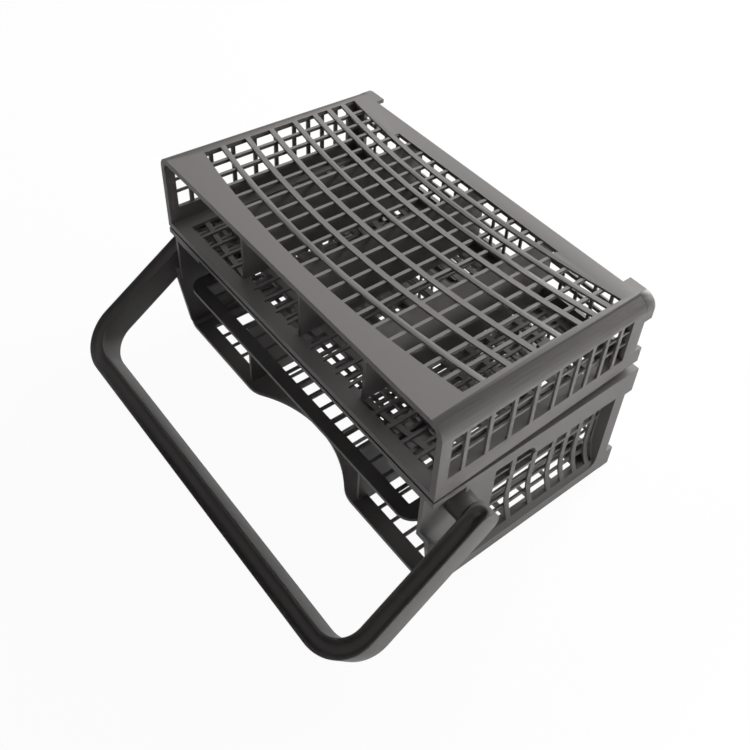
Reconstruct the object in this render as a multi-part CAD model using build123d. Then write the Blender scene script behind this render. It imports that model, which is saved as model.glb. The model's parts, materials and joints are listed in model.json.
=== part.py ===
from build123d import *
from math import acos, asin, atan2, cos, degrees, radians, sin, sqrt, tan
import os

# Body sizes in millimetres. X runs along the length, the open mouth faces -Y,
# and the basket lies on its handle half with the underside on z = 0.
length = 240.0
depth = 135.5
foot = 5.5
deep_height = 84.0
slim_height = 50.0
seam = 1.5
draft = 1.0
wall = 2.4
lip = 3.6
lip_depth = 3.0
weld = 0.4

# Lattice that every wall shares
grid_margin = 12.0
columns = 20
hidden_rows = 3
bottom_step = 4
long_bar = 3.2
cross_bar = 1.9
bar_drop = 1.3
bow = 9.5
chord = 2

# Rows of the bowed lattice, and how they share its span from the mouth to the bottom
mouth_margin = 11.5
last_margin = 10.5
last_columns = 12
row_shares = (12.0, 16.0, 16.0, 16.0, 14.3, 10.3, 10.3, 10.3, 8.3)

# Slim half
slim_outer_radius = 8.0
slim_end_margin = 6.5
slim_end_last = 9.5
slim_end_shares = (9.5, 14.5, 14.5, 14.5, 14.5, 13.0, 10.2, 10.2, 10.2, 8.4)
slim_end_low = 12.0
slim_end_high = 10.5
slim_end_bar = 2.4
row_bar = 1.6
row_pitch = 8.2
divider = 1.8
divider_setback = 9.8
divider_columns = 5
floor_margin = 8.5
floor_first = 9.0
floor_picks = (1, 4)

# Handle half
deep_radius = 5.0
partition_height = 47.8
partition = 2.2
partition_gap = 14.0
partition_corner = 10.0
partition_setback = 17.0
partition_margin = 8.0
corner_slant_height = 46.0
underside_setback = 6.5
scallop_half = 46.0
scallop_depth = 16.0
scallop_round = 18.0
underside_margin = 16.5
underside_row = 12.0
seam_lip = 5.0
seam_lip_run = 33.0

# Recessed end panels of the handle half: how far they stop short of its edges
recess = 6.5
recess_low = 11.5
recess_back = 8.0
recess_top_drop = 7.5
recess_mouth_drop = 3.5
recess_step_drop = 15.0
recess_mouth_run = 20.5
recess_step_run = 67.5
recess_slant_run = 26.5
recess_slant_z = 54.0
recess_round = 6.0
cove_top = 34.0
cove_chords = 3

# Lattice of those panels
panel_front = 48.5
panel_back = 9.0
panel_low = 15.5
panel_top_drop = 18.0
panel_shares = (13.0, 16.0, 14.5, 10.5, 10.0, 10.0, 4.0)
panel_row_first = 3.5
panel_rows = 6

# Corner feet, as seen along X and along Z
foot_length = 18.0
slim_foot_low = 10.0
slim_foot_high = 14.0
deep_foot_low = 18.0
deep_foot_high = 17.0

# Hooks that hold the halves together, and the ribs between them
slide_travel = 3.6
hook_column = 2
hook_width = 8.0
hook_head = 2.0
hook_lap = 0.3
hook_side = 0.5
hook_lift = 0.4
rib_rest = 0.05

# Bail handle and its pivots
pivot_run = 22.0
pivot_drop = 21.0
pin_radius = 5.5
pin_clearance = 0.08
pin_chamfer = 0.8
pin_reach = 2.0
boss_wall = 2.0
slide_spare = 0.3
arm_clearance = 0.5
arm_thick = 10.0
arm_wide = 16.5
handle_reach = 98.8
handle_bend = 26.0
rim = 0.9
groove_floor = 3.6
groove_deep = 4.0

# Levels worked out from the sizes above
mouth_y = -(depth + foot) / 2
bottom_y = mouth_y + depth
slim_low = deep_height + seam
slim_high = slim_low + slim_height
grid_half = length / 2 - grid_margin
pitch = 2 * grid_half / columns
last_half = last_columns * pitch / 2
divider_pitch = divider_columns * pitch
bow_radius = (grid_half**2 + bow**2) / (2 * bow)
slope = tan(radians(draft))
reach = 2 * length
pivot_y = mouth_y + pivot_run
pivot_z = deep_height - pivot_drop


def block(x_low, x_high, y_low, y_high, z_low, z_high):
    """Box between two corners."""
    size = Box(x_high - x_low, y_high - y_low, z_high - z_low)
    return Pos((x_low + x_high) / 2, (y_low + y_high) / 2, (z_low + z_high) / 2) * size


def tub(inset, z_low, z_high, side, radius, tall, angle):
    """Solid half lying on its side, inset from its outside faces and rounded on one side."""
    face = Rectangle(length - 2 * inset, z_high - z_low - 2 * inset)
    body = extrude(face, amount=tall, taper=angle)
    long_edges = body.edges().group_by(Axis.Z)[1]
    body = fillet(long_edges.group_by(Axis.Y)[side], max(radius - inset, weld))
    return Pos(0, mouth_y, (z_low + z_high) / 2) * Rot(-90, 0, 0) * body


def rise(x):
    """How far a bowed bar has swung back from the mouth at x."""
    return bow_radius - sqrt(bow_radius**2 - x**2)


def bowed(y, half):
    """Points of a bowed bar through y at mid-length, set on column lines."""
    step = chord * pitch
    spots = [index * step - half for index in range(round(2 * half / step) + 1)]
    return [(x, y + rise(x)) for x in spots]


def bowed_slot(y_low, y_high, half, z_low, z_high):
    """Slot between two bowed bars, cut along Z."""
    outline = bowed(y_low, half) + bowed(y_high, half)[::-1]
    face = make_face(Polyline(*outline, close=True))
    return Pos(0, 0, z_low) * extrude(face, amount=z_high - z_low)


def blunt_slot(y_low, y_high, half, z_low, z_high):
    """Slot between a bowed bar and a straight margin, cut along Z."""
    outline = bowed(y_low, half) + [(half, y_high), (-half, y_high)]
    face = make_face(Polyline(*outline, close=True))
    return Pos(0, 0, z_low) * extrude(face, amount=z_high - z_low)


def shared(low, high, shares):
    """Places of the bars that split a span in the given proportions."""
    spots = []
    spot = low
    for share in shares[:-1]:
        spot += share * (high - low) / sum(shares)
        spots.append(spot)
    return spots


def between(low, bars, bar_width, high):
    """Openings left between low and high by bars of one width."""
    lows = [low] + [bar + bar_width / 2 for bar in bars]
    highs = [bar - bar_width / 2 for bar in bars] + [high]
    return list(zip(lows, highs))


def corner_feet(z_low, z_high, side, radius, low_run, high_run, inset):
    """L-shaped feet that carry the corners on beyond the bottom wall."""
    rounding = radius + inset - weld
    outer = tub(inset, z_low, z_high, side, rounding, depth + foot, 0)
    inner = tub(inset + wall, z_low, z_high, side, rounding, depth + foot, 0)
    ring = outer - inner
    x_out = length / 2
    x_in = x_out - inset - foot_length
    y_span = (bottom_y - weld, bottom_y + foot)
    corners = []
    for x_low, x_high in ((-x_out, -x_in), (x_in, x_out)):
        corners.append(block(x_low, x_high, *y_span, z_low, z_low + inset + low_run))
        corners.append(block(x_low, x_high, *y_span, z_high - inset - high_run, z_high))
    return [ring & corner for corner in corners]


def cross_bars(lines, y_low, y_high, z_low, z_high):
    """Tools for the bars that cross a wall on column lines."""
    half = cross_bar / 2
    return [block(x - half, x + half, y_low, y_high, z_low, z_high) for x in lines]


def slots(half, rows, z_low, z_high):
    """Tools for the long slots between straight bars, cut along Z."""
    return [block(-half, half, *row, z_low, z_high) for row in rows]


# Bowed rows of the top, and the longer cells of the walls behind it
row_start = mouth_y + mouth_margin
row_end = bottom_y - last_margin
row_bars = shared(row_start, row_end, row_shares)
fine_rows = between(row_start, row_bars, long_bar, row_end)
hidden_step = (row_end - row_start) / hidden_rows
hidden_bars = [row_start + index * hidden_step for index in range(1, hidden_rows)]
wide_rows = between(row_start, hidden_bars, long_bar, row_end)

# Column lines of the cross bars. The seam wall's lie half a column off the others.
lines = [index * pitch - grid_half for index in range(1, columns)]
rib_lines = [index * pitch + pitch / 2 - grid_half for index in range(columns)]
bottom_lines = lines[bottom_step // 2 - 1::bottom_step]
side_lines = [x for x in lines if abs(x) > divider_pitch]
side_in = divider_pitch + cross_bar / 2
side_spans = ((-grid_half, -side_in), (side_in, grid_half))

# Slim half: drafted shell. Its lattice has slotted outer bars with cross bars behind them.
slim_args = (slim_low, slim_high, 0, slim_outer_radius)
slim_cavity = tub(wall, *slim_args, depth - wall, draft)
slim_outside = tub(0, *slim_args, depth, draft)
slim_room = tub(bar_drop, *slim_args, depth - bar_drop, draft)
slim_mid = (slim_low + slim_high) / 2
slim_top = (slim_mid, slim_high + wall)
slim_base = (slim_low - wall, slim_mid)

slim_cuts = [slim_room & block(-grid_half, grid_half, row_start, row_end, *slim_top)]
slim_cuts += [bowed_slot(*row, grid_half, *slim_top) for row in fine_rows[:-1]]
slim_cuts.append(blunt_slot(*fine_rows[-1], last_half, *slim_top))

# Its floor has bowed bars too, the first of them run into the straight margin
floor_start = mouth_y + floor_margin
floor_bars = [mouth_y + floor_first] + [row_bars[index] for index in floor_picks]
floor_rows = between(floor_start, floor_bars, long_bar, row_end)
slim_cuts.append(slim_room & block(-grid_half, grid_half, floor_start, row_end, *slim_base))
for x_low, x_high in side_spans:
    wedge = bowed_slot(floor_start - bow, floor_rows[0][1], grid_half, *slim_base)
    slim_cuts.append(wedge & block(x_low, x_high, floor_start, bottom_y, *slim_base))
slim_cuts += [bowed_slot(*row, grid_half, *slim_base) for row in floor_rows[1:-1]]
slim_cuts.append(blunt_slot(*floor_rows[-1], grid_half, *slim_base))

slim_end_start = mouth_y + slim_end_margin
slim_end_stop = bottom_y - slim_end_last
slim_end_bars = shared(slim_end_start, slim_end_stop, slim_end_shares)
slim_end_span = (slim_low + slim_end_low, slim_high - slim_end_high)
slim_cuts.append(slim_room & block(-length, length, slim_end_start, slim_end_stop, *slim_end_span))
for y_span in between(slim_end_start, slim_end_bars, slim_end_bar, slim_end_stop):
    slim_cuts.append(block(-length, length, *y_span, *slim_end_span))
bottom_span = (bottom_y - 2 * wall, bottom_y + foot)
slim_cuts.append(block(-grid_half, grid_half, *bottom_span, *slim_end_span))

slim_bars = cross_bars(lines, row_start, bottom_y - lip, *slim_top)
slim_bars += cross_bars(lines, floor_start, row_end, *slim_base)
slim_bars += cross_bars(bottom_lines, *bottom_span, *slim_end_span)
for index in (1, 2):
    z = slim_end_span[1] - index * row_pitch
    z_span = (z - row_bar / 2, z + row_bar / 2)
    slim_bars.append(block(-length, length, slim_end_start, slim_end_stop, *z_span))

slim = slim_outside - slim_cavity
slim = slim + (tub(0, *slim_args, lip_depth, draft) - tub(lip, *slim_args, lip_depth, draft))
slim = slim - slim_cuts
slim_skin = slim_room - slim_cavity
slim = slim + [slim_skin & bar for bar in slim_bars]
divider_room = tub(wall - weld, *slim_args, depth - wall + weld, draft)
for x in (-divider_pitch, 0, divider_pitch):
    sheet = block(
        x - divider / 2, x + divider / 2, mouth_y + divider_setback, bottom_y, slim_low, slim_high
    )
    slim = slim + (divider_room & sheet)
slim = slim + corner_feet(*slim_args, slim_foot_low, slim_foot_high, depth * slope)


def end_recess(grow):
    """Hollow of both end panels. Moved into the body by grow, it is left without rounds."""
    top = deep_height - recess_top_drop + grow
    mouth_top = deep_height - recess_mouth_drop + grow
    step = deep_height - recess_step_drop + grow
    low = recess_low - grow
    mouth_end = mouth_y + recess_mouth_run + grow
    step_end = mouth_y + recess_step_run + grow
    back = bottom_y - recess_back + grow
    slant_end = mouth_y + recess_slant_run - grow / 2
    front = mouth_y - recess
    slant_z = recess_slant_z + (recess_slant_z - recess_low) * recess / recess_slant_run
    outline = Polyline(
        (front, mouth_top),
        (mouth_end, mouth_top),
        (mouth_end, top),
        (step_end, top),
        (step_end, step),
        (back, step),
        (back, low),
        (slant_end, low),
        (front - grow / 2, slant_z - grow),
        close=True,
    )
    face = make_face(outline)
    if grow == 0:
        rounds = (
            (step_end, top, recess_round),
            (back, low, recess_round),
            (slant_end, low, 2 * recess_round),
        )
        for y, z, radius in rounds:
            face = fillet(face.vertices().sort_by_distance((y, z, 0))[0], radius)
    bend = (recess**2 + (cove_top - recess_low)**2) / (2 * recess)
    floor_x = length / 2 - recess
    outer_x = length / 2 + recess / 2

    def cove(angle):
        x = floor_x + bend - (bend + grow) * cos(angle)
        return x, cove_top - (bend + grow) * sin(angle)

    turn = acos((floor_x + bend - outer_x) / (bend + grow))
    arc = ThreePointArc(cove(0), cove(turn / 2), cove(turn))
    if grow > 0:
        arc = Polyline([cove(turn * index / cove_chords) for index in range(cove_chords + 1)])
    rest = Polyline(arc @ 1, (outer_x, deep_height), (floor_x - grow, deep_height), arc @ 0)
    section = extrude(Plane.XZ * make_face([arc, rest]), amount=reach, both=True)
    hollow = extrude(Plane.YZ * face, amount=reach) & section
    return hollow + mirror(hollow, about=Plane.YZ)


# Handle half: straight shell whose recessed end panels stand into it
deep_args = (0, deep_height, -1, deep_radius)
deep_cavity = tub(wall, *deep_args, depth - wall, 0) - end_recess(wall)
deep_outside = tub(0, *deep_args, depth, 0) - end_recess(0)
deep_room = tub(bar_drop, *deep_args, depth - bar_drop, 0) - end_recess(bar_drop)
deep_shelf = partition_height + partition

deep_cuts = slots(grid_half, wide_rows, deep_height - 2 * wall, deep_height + wall)
deep_base = (-wall, 2 * wall)
under_start = mouth_y + underside_margin
under_bar = under_start + underside_row + long_bar / 2
under_rows = between(under_bar + long_bar / 2, [0], long_bar, row_end)
deep_cuts.append(deep_room & block(-grid_half, grid_half, under_bar, row_end, *deep_base))
deep_cuts += slots(grid_half, under_rows, *deep_base)
for x_low, x_high in side_spans:
    deep_cuts.append(deep_room & block(x_low, x_high, under_start, under_bar, *deep_base))
    deep_cuts.append(block(x_low, x_high, under_start, under_start + underside_row, *deep_base))
panel_left = mouth_y + panel_front
panel_right = bottom_y - panel_back
panel_top = deep_height - panel_top_drop
panel_bars = shared(panel_left, panel_right, panel_shares)
deep_cuts.append(deep_room & block(-length, length, panel_left, panel_right, panel_low, panel_top))
for y_span in between(panel_left, panel_bars, long_bar, panel_right):
    deep_cuts.append(block(-length, length, *y_span, panel_low, panel_top))
bottom_rows = ((slim_end_low, partition_height - wall), (deep_shelf + wall, deep_height - slim_end_low))
for z_span in bottom_rows:
    deep_cuts.append(block(-grid_half, grid_half, *bottom_span, *z_span))

deep_bars = cross_bars(lines, under_bar, row_end, *deep_base)
deep_bars += cross_bars(side_lines, under_start, under_bar, *deep_base)
for z_span in bottom_rows:
    deep_bars += cross_bars(bottom_lines, *bottom_span, *z_span)
panel_row_top = panel_top - panel_row_first
for index in range(panel_rows):
    z = panel_row_top - index * (panel_row_top - panel_low) / panel_rows
    z_span = (z - row_bar / 2, z + row_bar / 2)
    deep_bars.append(block(-length, length, panel_left, panel_right, *z_span))

deep = deep_outside - deep_cavity - deep_cuts
deep_skin = deep_room - deep_cavity
deep = deep + [deep_skin & bar for bar in deep_bars]

# Mouth of the handle half: finger scallop in the underside, end walls that slant back to it
edge_y = mouth_y + underside_setback
front = mouth_y - wall
arc = ThreePointArc((-scallop_half, edge_y), (0, edge_y + scallop_depth), (scallop_half, edge_y))
rest = Polyline(
    arc @ 1, (length, edge_y), (length, front), (-length, front), (-length, edge_y), arc @ 0
)
scallop = make_face([arc, rest])
for x in (-scallop_half, scallop_half):
    scallop = fillet(scallop.vertices().sort_by_distance((x, edge_y, 0))[0], scallop_round)
slant_outline = Polyline(
    (front, corner_slant_height), (mouth_y, corner_slant_height), (edge_y, 0), (front, 0), close=True
)
slant = extrude(Plane.YZ * make_face(slant_outline), amount=length, both=True)
deep = deep - extrude(scallop, amount=deep_radius) - slant
lip_in = length / 2 - seam_lip_run
for x_low, x_high in ((-length / 2, -lip_in), (lip_in, length / 2)):
    lip_room = block(x_low, x_high, mouth_y, mouth_y + lip_depth, deep_height - seam_lip, deep_height)
    deep = deep + (lip_room & deep_outside)

# Shelf between the two compartments of the handle half
shelf_span = (partition_height, deep_shelf)
shelf_half = length / 2 - partition_gap
shelf = block(-shelf_half, shelf_half, mouth_y, bottom_y - weld, *shelf_span)
shelf = fillet(shelf.edges().filter_by(Axis.Z).group_by(Axis.Y)[0], partition_corner)
shelf_side = block(-length / 2, length / 2, mouth_y + partition_setback, bottom_y - weld, *shelf_span)
shelf = shelf + (shelf_side & (deep_cavity + deep_outside))
shelf_start = mouth_y + partition_margin
shelf_end = lines[-1] - cross_bar / 2
shelf_top = (partition_height + partition / 2, deep_shelf)
shelf = shelf - block(-shelf_end, shelf_end, shelf_start, row_end, *shelf_top)
shelf = shelf - slots(shelf_end, between(shelf_start, hidden_bars, long_bar, row_end), *shelf_span)
deep = deep + (shelf + cross_bars(lines[1:-1], shelf_start, row_end, *shelf_top))

for x in (-divider_pitch, divider_pitch):
    deep = deep + block(
        x - divider / 2, x + divider / 2, mouth_y + divider_setback, bottom_y - weld, wall - weld,
        partition_height + weld
    )
deep = deep + corner_feet(*deep_args, deep_foot_low, deep_foot_high, 0)

# Round bosses with the handle's bores
boss_face = length / 2 + slide_travel + slide_spare
panel_x = length / 2 - recess
bore_radius = pin_radius + pin_clearance
for side in (-1, 1):
    seat = Pos(side * (panel_x - wall / 2 + boss_face) / 2, pivot_y, pivot_z) * Rot(0, 90, 0)
    deep = deep + seat * Cylinder(bore_radius + boss_wall, boss_face - panel_x + wall / 2)
bore = Pos(0, pivot_y, pivot_z) * Rot(0, 90, 0) * Cylinder(bore_radius, reach)
deep = deep - (bore - block(-panel_x + 2 * wall, panel_x - 2 * wall, -reach, reach, 0, reach))

# Hooks on the seam wall reach through the slim half's lattice
for y_low, y_high in (wide_rows[0], wide_rows[-1]):
    for bar_x in (lines[hook_column - 1], lines[-hook_column]):
        y = (y_low + y_high) / 2
        y_span = (y - hook_width / 2, y + hook_width / 2)
        stem_high = bar_x - cross_bar / 2 - hook_side
        stem_low = bar_x - pitch + cross_bar / 2 + slide_travel + hook_side
        tip = bar_x + cross_bar / 2 + hook_lap
        under = slim_low + wall + (y_span[1] - mouth_y) * slope + hook_lift
        seat = (y_low - weld, y_high + weld)
        deep = deep + block(stem_low, stem_high, *y_span, deep_height - wall, under + hook_head)
        deep = deep + block(stem_low, tip, *y_span, under, under + hook_head)
        deep = deep + block(stem_low, stem_high, *seat, deep_height - wall, deep_height)

# Cross bars of the seam wall stand up as ribs that carry the slim half
rib_front = row_start - long_bar
rib_back = row_end + long_bar
rib_low = slim_low + (rib_front - mouth_y) * slope - rib_rest
rib_high = slim_low + (rib_back - mouth_y) * slope - rib_rest
rib_outline = Polyline(
    (rib_front, deep_height),
    (rib_back, deep_height),
    (rib_back, rib_high),
    (rib_front, rib_low),
    close=True,
)
rib = extrude(Plane.YZ * make_face(rib_outline), amount=cross_bar / 2, both=True)
deep = deep + [Pos(x, 0, 0) * rib for x in rib_lines]

# Bail handle, drawn about its pivot with the arms along -Y
arm_in = boss_face + arm_clearance
arm_out = arm_in + arm_thick
arm_mid = (arm_in + arm_out) / 2
lift = sqrt(handle_reach**2 + (arm_wide / 2)**2)
droop = degrees(asin(pivot_z / lift) - atan2(arm_wide / 2, handle_reach))


def bail(section, end):
    """Section swept along the middle of the handle, from arm to arm."""
    bar_y = arm_thick / 2 - handle_reach
    corners = ((-arm_mid, end), (-arm_mid, bar_y), (arm_mid, bar_y), (arm_mid, end))
    path = FilletPolyline(*corners, radius=handle_bend - arm_thick / 2)
    return sweep(Plane(path @ 0, x_dir=(1, 0, 0), z_dir=path % 0) * section, path)


handle = bail(Rectangle(arm_thick, arm_wide), 0)
for side in (-1, 1):
    arm_end = Pos(side * arm_mid, 0, 0) * Rot(0, 90, 0)
    handle = handle + arm_end * Cylinder(arm_wide / 2, arm_thick)
brink = arm_thick / 2 - rim
floor = groove_floor / 2
channel = Polygon(
    (-brink, weld), (-brink, 0), (-floor, -groove_deep), (floor, -groove_deep), (brink, 0), (brink, weld),
    align=None,
)
handle = handle - Pos(0, 0, arm_wide / 2) * bail(channel, arm_wide)
for side in (-1, 1):
    pin_in = panel_x - wall - pin_reach
    pin = Cylinder(pin_radius, arm_in + weld - pin_in)
    pin = chamfer(pin.edges().group_by(Axis.Z)[0], pin_chamfer)
    middle = side * (arm_in + weld + pin_in) / 2
    handle = handle + Pos(middle, 0, 0) * Rot(0, side * 90, 0) * pin
handle = Pos(0, pivot_y, pivot_z) * Rot(droop, 0, 0) * handle

os.makedirs("parts", exist_ok=True)
export_step(deep, "parts/handle_basket.step")
export_step(slim, "parts/slim_basket.step")
export_step(handle, "parts/bail_handle.step")
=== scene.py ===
import json
import math

import bpy
from mathutils import Matrix, Vector


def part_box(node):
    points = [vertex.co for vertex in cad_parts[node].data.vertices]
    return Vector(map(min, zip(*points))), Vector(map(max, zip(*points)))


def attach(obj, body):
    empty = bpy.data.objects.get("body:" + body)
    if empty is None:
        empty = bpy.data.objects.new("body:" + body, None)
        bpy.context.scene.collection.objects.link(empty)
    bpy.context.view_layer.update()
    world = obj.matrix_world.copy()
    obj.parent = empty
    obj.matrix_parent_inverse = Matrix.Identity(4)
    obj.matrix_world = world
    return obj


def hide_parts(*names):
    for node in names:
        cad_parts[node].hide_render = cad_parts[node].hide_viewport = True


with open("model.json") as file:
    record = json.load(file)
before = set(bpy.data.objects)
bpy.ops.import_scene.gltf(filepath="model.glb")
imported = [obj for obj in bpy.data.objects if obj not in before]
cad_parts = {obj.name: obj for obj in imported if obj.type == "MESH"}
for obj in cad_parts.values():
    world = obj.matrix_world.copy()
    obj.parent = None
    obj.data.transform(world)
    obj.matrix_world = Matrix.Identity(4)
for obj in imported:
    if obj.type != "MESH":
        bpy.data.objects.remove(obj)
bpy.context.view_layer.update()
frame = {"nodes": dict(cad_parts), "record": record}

# Camera, matched to the photograph. Angles in degrees, lengths in metres, image sizes in pixels.
IMAGE = 750
AZIMUTH = 47.64
ELEVATION = 42.87
ROLL = 4.83
FOCAL = 939.64
CENTRE_X = 405
CENTRE_Y = 295
OFFSET_RIGHT = 0.01316
OFFSET_UP = 0.06058
DISTANCE = 0.57779
SENSOR = 36.0
CLIP_START = 0.01

# Finish of the moulded plastic
GREY = (0.150, 0.141, 0.138, 1.0)
PALE = (0.172, 0.162, 0.158, 1.0)
SPECULAR = 0.3
CLOUD_SCALE = 45
CLOUD_DETAIL = 6
SMOOTHEST = 0.40
ROUGHEST = 0.55
GRAIN_SCALE = 2600
GRAIN_DETAIL = 2
GRAIN_STRENGTH = 0.12
GRAIN_DEPTH = 0.0002

# Small rounded edges of the mouldings. Angles in degrees.
WELD_DISTANCE = 1e-6
FLAT_ANGLE = 0.5
EDGE_ANGLE = 35
EDGE_WIDTH = 0.00035
EDGE_SEGMENTS = 2

# Lattice, in metres: the finer bars between the CAD bars and the caps on the top's cross bars
GRID_HALF = 0.108
COLUMNS = 20
BOTTOM_STEP = 4
BOW = 0.0095
BOW_SHARES = (12.0, 16.0, 16.0, 16.0, 14.3, 10.3, 10.3, 10.3)
BOW_SPAN = 113.5
BOW_PICKS = (1, 4)
FINE_ROWS = 9
WIDE_ROWS = 3
UNDER_CELLS = 3
TALL_ROWS = 3
SHORT_ROWS = 2
LONG_BAR = 0.0032
CROSS_BAR = 0.0019
ROW_BAR = 0.0024
BAR_DROP = 0.0013
CAP_DROP = 0.0005
WALL = 0.0024
SUNK = 0.0002
MOUTH_MARGIN = 0.0115
LAST_MARGIN = 0.0105
FLOOR_MARGIN = 0.012
FOOT = 0.0055
SLIM_LOW = 0.0855
SLIM_HIGH = 0.1355
SLIM_FLOOR_TOP = 0.125
DRAFT = math.tan(math.radians(1.0))
DEEP_TOP = 0.084
SHELF_LOW = 0.0478
SHELF_TOP = 0.0500
UNDER_START = -0.0388

# Bail handle, drawn about its pivot with the arms along -Y
ARM_THICK = 0.0100
ARM_WIDE = 0.0165
REACH = 0.0988
BEND = 0.026
RIM = 0.0013
GROOVE = 0.0040
CORNER = 0.0007
PIN_RADIUS = 0.0055
PIN_IN = 0.1091
CORNER_STEPS = 4
HOLLOW_STEPS = 14
END_STEPS = 10
BEND_STEPS = 16
PIN_SIDES = 32
SHARP_ANGLE = 50

# Studio: the floor, the world and the lamps as (name, place, size, watts, target, spread in degrees)
FLOOR_SIZE = 6
FLOOR_TONE = (0.8, 0.8, 0.8, 1)
FLOOR_WHITE = 0.96
WHITE = (1, 1, 1, 1)
WORLD_LIGHT = 0.01
BASKET = (0, 0, 0)
LAMPS = (
    ("key", (-0.1, 1.1, 0.6), 0.5, 22, BASKET, 180),
    ("back_right", (0.60, 0.90, 0.75), 0.5, 5, BASKET, 180),
    ("back_left", (-0.65, 0.60, 0.80), 0.6, 3, BASKET, 180),
    ("table", (0.65, -0.05, 0.4), 0.4, 8, (0.65, -0.05, 0), 70),
)

# Places read from the CAD frame
MOUTH_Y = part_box("slim_basket")[0][1]
BOTTOM_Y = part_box("slim_basket")[1][1] - FOOT
ARM_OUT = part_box("bail_handle")[1][0]
PIVOT = Vector(frame["record"]["behaviour"]["joints"][0]["pos_m"])


def make_camera():
    """Camera at the photograph's viewing angle."""
    azimuth, elevation, roll = (math.radians(a) for a in (AZIMUTH, ELEVATION, ROLL))
    back = Vector(
        (
            math.sin(azimuth) * math.cos(elevation),
            -math.cos(azimuth) * math.cos(elevation),
            math.sin(elevation),
        )
    )
    level = (-back).cross(Vector((0, 0, 1))).normalized()
    upright = level.cross(-back)
    right = math.cos(roll) * level + math.sin(roll) * upright
    up = math.cos(roll) * upright - math.sin(roll) * level
    data = bpy.data.cameras.new("camera")
    data.sensor_width = SENSOR
    data.lens = SENSOR * FOCAL / IMAGE
    data.shift_x = (IMAGE / 2 - CENTRE_X) / IMAGE
    data.shift_y = (CENTRE_Y - IMAGE / 2) / IMAGE
    data.clip_start = CLIP_START
    camera = bpy.data.objects.new("camera", data)
    place = right * OFFSET_RIGHT + up * OFFSET_UP + back * DISTANCE
    turn = Matrix((right, up, back)).transposed().to_4x4()
    camera.matrix_world = Matrix.Translation(place) @ turn
    bpy.context.scene.collection.objects.link(camera)
    bpy.context.scene.camera = camera


def make_plastic():
    """Dark grey moulded plastic: a slightly cloudy tone, a satin sheen and a fine grain."""
    material = bpy.data.materials.new("grey_plastic")
    material.use_nodes = True
    nodes = material.node_tree.nodes
    links = material.node_tree.links
    shader = nodes["Principled BSDF"]
    shader.inputs["Specular IOR Level"].default_value = SPECULAR
    place = nodes.new("ShaderNodeTexCoord")

    cloud = nodes.new("ShaderNodeTexNoise")
    cloud.inputs["Scale"].default_value = CLOUD_SCALE
    cloud.inputs["Detail"].default_value = CLOUD_DETAIL
    tone = nodes.new("ShaderNodeMix")
    tone.data_type = "RGBA"
    tone.inputs["A"].default_value = GREY
    tone.inputs["B"].default_value = PALE
    links.new(place.outputs["Object"], cloud.inputs["Vector"])
    links.new(cloud.outputs["Fac"], tone.inputs["Factor"])
    links.new(tone.outputs["Result"], shader.inputs["Base Color"])

    sheen = nodes.new("ShaderNodeMapRange")
    sheen.inputs["To Min"].default_value = SMOOTHEST
    sheen.inputs["To Max"].default_value = ROUGHEST
    links.new(cloud.outputs["Fac"], sheen.inputs["Value"])
    links.new(sheen.outputs["Result"], shader.inputs["Roughness"])

    grain = nodes.new("ShaderNodeTexNoise")
    grain.inputs["Scale"].default_value = GRAIN_SCALE
    grain.inputs["Detail"].default_value = GRAIN_DETAIL
    bump = nodes.new("ShaderNodeBump")
    bump.inputs["Strength"].default_value = GRAIN_STRENGTH
    bump.inputs["Distance"].default_value = GRAIN_DEPTH
    links.new(place.outputs["Object"], grain.inputs["Vector"])
    links.new(grain.outputs["Fac"], bump.inputs["Height"])
    links.new(bump.outputs["Normal"], shader.inputs["Normal"])
    return material


def dress(node, material):
    """Gives a CAD node its finish and small rounded edges."""
    node.data.materials.clear()
    node.data.materials.append(material)
    weld = node.modifiers.new("weld", "WELD")
    weld.merge_threshold = WELD_DISTANCE
    flat = node.modifiers.new("flat", "DECIMATE")
    flat.decimate_type = "DISSOLVE"
    flat.angle_limit = math.radians(FLAT_ANGLE)
    edge = node.modifiers.new("edge", "BEVEL")
    edge.width = EDGE_WIDTH
    edge.segments = EDGE_SEGMENTS
    edge.limit_method = "ANGLE"
    edge.angle_limit = math.radians(EDGE_ANGLE)
    edge.harden_normals = True


def make_piece(name, points, faces, material, body):
    """Mesh piece that takes the plastic's finish and rides on a body."""
    mesh = bpy.data.meshes.new(name)
    mesh.from_pydata(points, [], faces)
    mesh.update()
    piece = bpy.data.objects.new(name, mesh)
    bpy.context.scene.collection.objects.link(piece)
    mesh.materials.append(material)
    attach(piece, body)
    return piece


class Bars:
    """Bars gathered into one mesh. slope lifts them along Y, for a drafted wall."""

    def __init__(self):
        self.points = []
        self.faces = []

    def add(self, low, high, slope=0.0):
        """Straight bar between two corners."""
        first = len(self.points)
        for x in (low[0], high[0]):
            for y in (low[1], high[1]):
                for z in (low[2], high[2]):
                    self.points.append((x, y, z + slope * (y - MOUTH_Y)))
        for face in ((0, 1, 3, 2), (4, 6, 7, 5), (0, 4, 5, 1), (2, 3, 7, 6), (0, 2, 6, 4), (1, 5, 7, 3)):
            self.faces.append([first + corner for corner in face])

    def add_bowed(self, middle, width, z_low, z_high, slope):
        """Bar that swings back from the mouth towards both ends."""
        radius = (GRID_HALF**2 + BOW**2) / (2 * BOW)
        first = len(self.points)
        for n in range(COLUMNS + 1):
            x = (2 * n / COLUMNS - 1) * GRID_HALF
            centre = middle + radius - math.sqrt(radius**2 - x**2)
            lift = slope * (centre - MOUTH_Y)
            for y, z in ((-1, z_low), (1, z_low), (1, z_high), (-1, z_high)):
                self.points.append((x, centre + y * width / 2, z + lift))
        for n in range(COLUMNS):
            for corner in range(4):
                a = first + 4 * n + corner
                b = first + 4 * n + (corner + 1) % 4
                self.faces.append((a, b, b + 4, a + 4))


def column_line(n):
    """Middle of a cross bar, counted from the left end."""
    return n * 2 * GRID_HALF / COLUMNS - GRID_HALF


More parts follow.
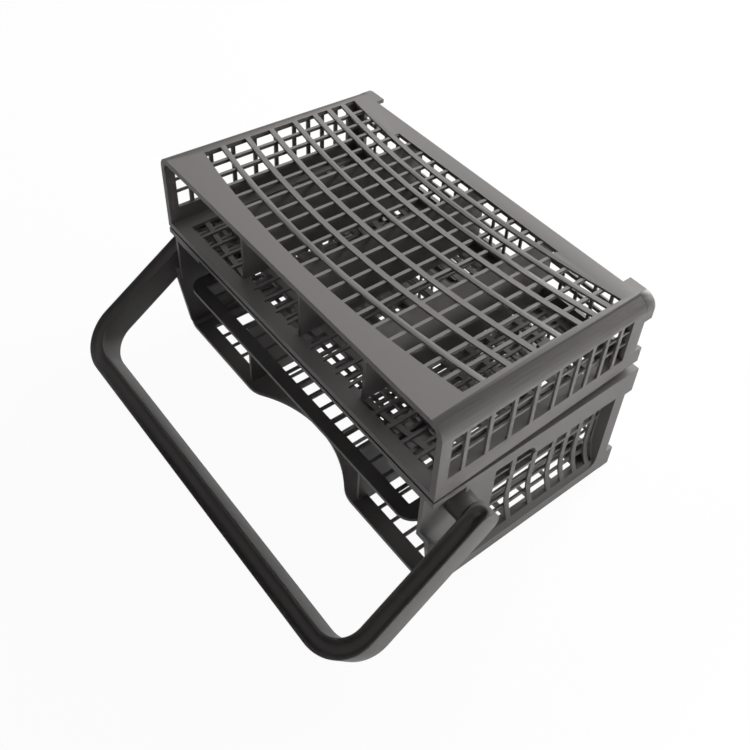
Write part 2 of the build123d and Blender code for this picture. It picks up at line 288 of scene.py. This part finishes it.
def fill_wall(bars, rows, z_low, z_high, half=GRID_HALF):
    """Finer rows of a wall that lies flat."""
    for y in rows:
        bars.add((-half, y - ROW_BAR / 2, z_low + SUNK), (half, y + ROW_BAR / 2, z_high - SUNK))


def fill_bottom(bars, z_low, z_high, rows):
    """Finer bars of a bottom wall, which stands upright at the far end."""
    y_low = BOTTOM_Y - WALL + SUNK
    y_high = BOTTOM_Y - BAR_DROP
    for n in range(1, COLUMNS):
        if n % BOTTOM_STEP != BOTTOM_STEP // 2:
            x = column_line(n)
            bars.add((x - CROSS_BAR / 2, y_low, z_low), (x + CROSS_BAR / 2, y_high, z_high))
    for n in range(1, rows):
        z = z_low + n * (z_high - z_low) / rows
        bars.add((-GRID_HALF, y_high, z - ROW_BAR / 2), (GRID_HALF, BOTTOM_Y - SUNK, z + ROW_BAR / 2))


def make_fine_bars(material):
    """Short cells of the flat walls, narrow cells of the bottoms and caps on the top's cross bars."""
    start = MOUTH_Y + MOUTH_MARGIN
    stop = BOTTOM_Y - LAST_MARGIN

    slim = Bars()
    for index in range(len(BOW_SHARES)):
        if index not in BOW_PICKS:
            middle = start + sum(BOW_SHARES[:index + 1]) / BOW_SPAN * (stop - start)
            slim.add_bowed(middle, LONG_BAR, SLIM_LOW + SUNK, SLIM_LOW + BAR_DROP, DRAFT)
    for n in range(1, COLUMNS):
        x = column_line(n)
        low = (x - CROSS_BAR / 2, start, SLIM_HIGH - BAR_DROP - SUNK)
        slim.add(low, (x + CROSS_BAR / 2, stop, SLIM_HIGH - CAP_DROP), -DRAFT)
    fill_bottom(slim, SLIM_LOW + FLOOR_MARGIN, SLIM_FLOOR_TOP, TALL_ROWS)
    make_piece("slim_fine_bars", slim.points, slim.faces, material, "slim_half")

    deep = Bars()
    step = (stop - start) / FINE_ROWS
    rows = [start + n * step for n in range(1, FINE_ROWS) if n % WIDE_ROWS]
    fill_wall(deep, rows, DEEP_TOP - WALL, DEEP_TOP)
    inner = GRID_HALF * (1 - 2 / COLUMNS)
    fill_wall(deep, rows, SHELF_LOW, (SHELF_LOW + SHELF_TOP) / 2, half=inner)
    under_rows = [UNDER_START / 2] + [n * stop / UNDER_CELLS for n in range(1, UNDER_CELLS)]
    fill_wall(deep, under_rows, 0, BAR_DROP)
    fill_bottom(deep, FLOOR_MARGIN, SHELF_LOW - WALL, TALL_ROWS)
    fill_bottom(deep, SHELF_TOP + WALL, DEEP_TOP - FLOOR_MARGIN, SHORT_ROWS)
    make_piece("deep_fine_bars", deep.points, deep.faces, material, "handle_half")


def handle_section():
    """Outline of the handle across its length: (outward, upward) points with a hollow on top."""
    side = ARM_THICK / 2
    top = ARM_WIDE / 2
    points = []
    for centre_x, centre_y, first, radius in (
        (side - CORNER, -top + CORNER, -90, CORNER),
        (side - RIM / 2, top - RIM / 2, 0, RIM / 2),
    ):
        for n in range(CORNER_STEPS + 1):
            angle = math.radians(first + n * 90 / CORNER_STEPS)
            points.append((centre_x + radius * math.cos(angle), centre_y + radius * math.sin(angle)))
    brink = side - RIM
    radius = (brink**2 + GROOVE**2) / (2 * GROOVE)
    spread = math.asin(min(brink / radius, 1.0))
    hollow = []
    for n in range(1, HOLLOW_STEPS):
        angle = spread * (1 - 2 * n / HOLLOW_STEPS)
        hollow.append((radius * math.sin(angle), top - GROOVE + radius - radius * math.cos(angle)))
    return points + hollow + [(-x, y) for x, y in reversed(points)]


def handle_path():
    """Middle line of the handle: (x, y, outward x, outward y) from one arm's end to the other's."""
    middle = ARM_OUT - ARM_THICK / 2
    radius = BEND - ARM_THICK / 2
    bar_y = ARM_THICK / 2 - REACH
    half = []
    for n in range(END_STEPS + 1):
        half.append((middle, ARM_WIDE / 2 * math.cos(math.radians(n * 90 / END_STEPS)), 1.0, 0.0))
    for n in range(BEND_STEPS + 1):
        angle = math.radians(n * 90 / BEND_STEPS)
        out = (math.cos(angle), -math.sin(angle))
        half.append((middle - radius + radius * out[0], bar_y + radius + radius * out[1], *out))
    return half + [(-x, y, -out_x, out_y) for x, y, out_x, out_y in reversed(half)]


def make_handle(material):
    """Bail handle with a hollow along its upper face, for the CAD handle."""
    section = handle_section()
    path = handle_path()
    droop = math.asin(PIVOT.z / math.hypot(REACH, ARM_WIDE / 2)) - math.atan2(ARM_WIDE / 2, REACH)
    turn = Matrix.Translation(PIVOT) @ Matrix.Rotation(droop, 4, "X")
    points = []
    faces = []
    for x, y, out_x, out_y in path:
        rounded = math.sqrt(max((ARM_WIDE / 2)**2 - max(y, 0.0)**2, 0.0))
        for out, up in section:
            up = max(-rounded, min(up, rounded))
            points.append(turn @ Vector((x + out * out_x, y + out * out_y, up)))
    count = len(section)
    for ring in range(len(path) - 1):
        for n in range(count):
            a = ring * count + n
            b = ring * count + (n + 1) % count
            faces.append((a, b, b + count, a + count))
    for end in (-1, 1):
        first = len(points)
        for x in (end * PIN_IN, end * (ARM_OUT - ARM_THICK / 2)):
            for n in range(PIN_SIDES):
                angle = 2 * math.pi * n / PIN_SIDES
                y = PIN_RADIUS * math.cos(angle)
                z = PIN_RADIUS * math.sin(angle)
                points.append(turn @ Vector((x, y, z)))
        faces.append(range(first, first + PIN_SIDES))
        for n in range(PIN_SIDES):
            m = (n + 1) % PIN_SIDES
            faces.append((first + n, first + m, first + PIN_SIDES + m, first + PIN_SIDES + n))
    piece = make_piece("handle_skin", points, faces, material, "handle")
    weld = piece.modifiers.new("weld", "WELD")
    weld.merge_threshold = WELD_DISTANCE
    piece.data.polygons.foreach_set("use_smooth", [True] * len(piece.data.polygons))
    piece.data.set_sharp_from_angle(angle=math.radians(SHARP_ANGLE))
    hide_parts("bail_handle")


def shown_rays(nodes, links):
    """Output that is 1 where the background is seen directly, in a reflection or through glass."""
    path = nodes.new("ShaderNodeLightPath")
    seen = path.outputs["Is Camera Ray"]
    for ray in ("Is Glossy Ray", "Is Transmission Ray"):
        either = nodes.new("ShaderNodeMath")
        either.operation = "MAXIMUM"
        links.new(seen, either.inputs[0])
        links.new(path.outputs[ray], either.inputs[1])
        seen = either.outputs[0]
    return seen


def make_floor():
    """White floor that keeps a faint shadow."""
    bpy.ops.mesh.primitive_plane_add(size=FLOOR_SIZE)
    floor = bpy.context.object
    floor.name = "floor"
    material = bpy.data.materials.new("floor")
    material.use_nodes = True
    nodes = material.node_tree.nodes
    links = material.node_tree.links
    nodes["Principled BSDF"].inputs["Base Color"].default_value = FLOOR_TONE
    nodes["Principled BSDF"].inputs["Roughness"].default_value = 1.0
    glow = nodes.new("ShaderNodeEmission")
    share = nodes.new("ShaderNodeMath")
    share.operation = "MULTIPLY"
    share.inputs[1].default_value = FLOOR_WHITE
    mix = nodes.new("ShaderNodeMixShader")
    links.new(shown_rays(nodes, links), share.inputs[0])
    links.new(share.outputs[0], mix.inputs["Fac"])
    links.new(nodes["Principled BSDF"].outputs["BSDF"], mix.inputs[1])
    links.new(glow.outputs["Emission"], mix.inputs[2])
    links.new(mix.outputs["Shader"], nodes["Material Output"].inputs["Surface"])
    floor.data.materials.append(material)


def make_world():
    """World that is white to look at and gives only a little light."""
    world = bpy.data.worlds.new("studio")
    bpy.context.scene.world = world
    world.use_nodes = True
    nodes = world.node_tree.nodes
    links = world.node_tree.links
    nodes["Background"].inputs["Color"].default_value = WHITE
    nodes["Background"].inputs["Strength"].default_value = WORLD_LIGHT
    white = nodes.new("ShaderNodeBackground")
    white.inputs["Color"].default_value = WHITE
    white.inputs["Strength"].default_value = 1.0
    mix = nodes.new("ShaderNodeMixShader")
    links.new(shown_rays(nodes, links), mix.inputs["Fac"])
    links.new(nodes["Background"].outputs["Background"], mix.inputs[1])
    links.new(white.outputs["Background"], mix.inputs[2])
    links.new(mix.outputs["Shader"], nodes["World Output"].inputs["Surface"])


def make_lamps():
    """Square lamps: a key behind the basket, two fills and one that lights the table at the right."""
    for name, place, size, watts, target, spread in LAMPS:
        lamp = bpy.data.lights.new(name, "AREA")
        lamp.size = size
        lamp.energy = watts
        lamp.spread = math.radians(spread)
        holder = bpy.data.objects.new(name, lamp)
        holder.location = place
        holder.rotation_mode = "QUATERNION"
        holder.rotation_quaternion = (Vector(target) - Vector(place)).to_track_quat("-Z", "Y")
        bpy.context.scene.collection.objects.link(holder)


bpy.context.scene.view_settings.view_transform = "Standard"
plastic = make_plastic()
for node in frame["nodes"].values():
    dress(node, plastic)
make_fine_bars(plastic)
make_handle(plastic)
make_floor()
make_world()
make_lamps()
make_camera()
